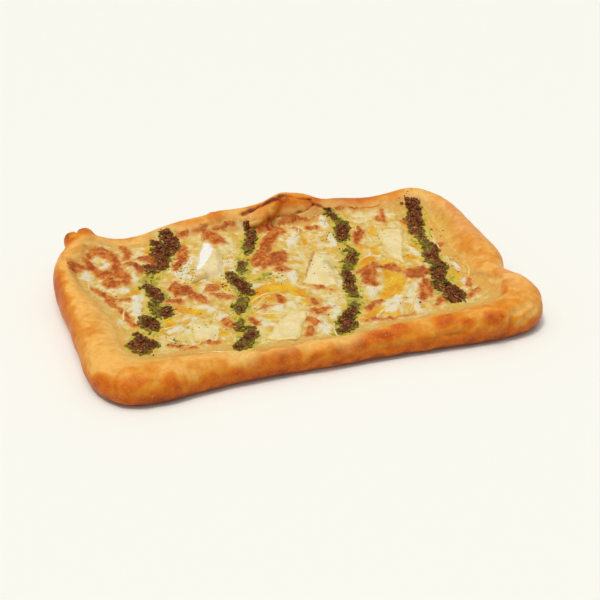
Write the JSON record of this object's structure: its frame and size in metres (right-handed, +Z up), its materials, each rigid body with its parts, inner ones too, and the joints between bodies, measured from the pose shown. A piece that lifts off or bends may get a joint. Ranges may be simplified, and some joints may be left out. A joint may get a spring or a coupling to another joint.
{
  "type": "roman-style pizza",
  "caption": "Baked rectangular pizza with a puffed, uneven rim, a sheet of melted cheese, stripes of herb sauce and soft cheese slices.",
  "frame": {"origin": "middle of the bounding box at the height of the flat base", "axes": "+X along the pizza, +Y from the lower long rim to the taller one at the back, +Z up from the base"},
  "size_m": [0.2992, 0.1976, 0.0347],
  "materials": {
    "baked_dough": "satin, golden with orange-brown browning",
    "melted_cheese": "oily gloss, creamy to yellow with browned patches and dark green herb sauce",
    "soft_cheese": "satin, pale cream"
  },
  "bodies": {
    "root": {"crust": "baked_dough", "melted_cheese": "melted_cheese", "brie_wedge_slice": "soft_cheese", "brie_rind_slice": "soft_cheese", "front_slice": "soft_cheese", "right_slice": "soft_cheese", "left_slice": "soft_cheese"}
  },
  "joints": []
}
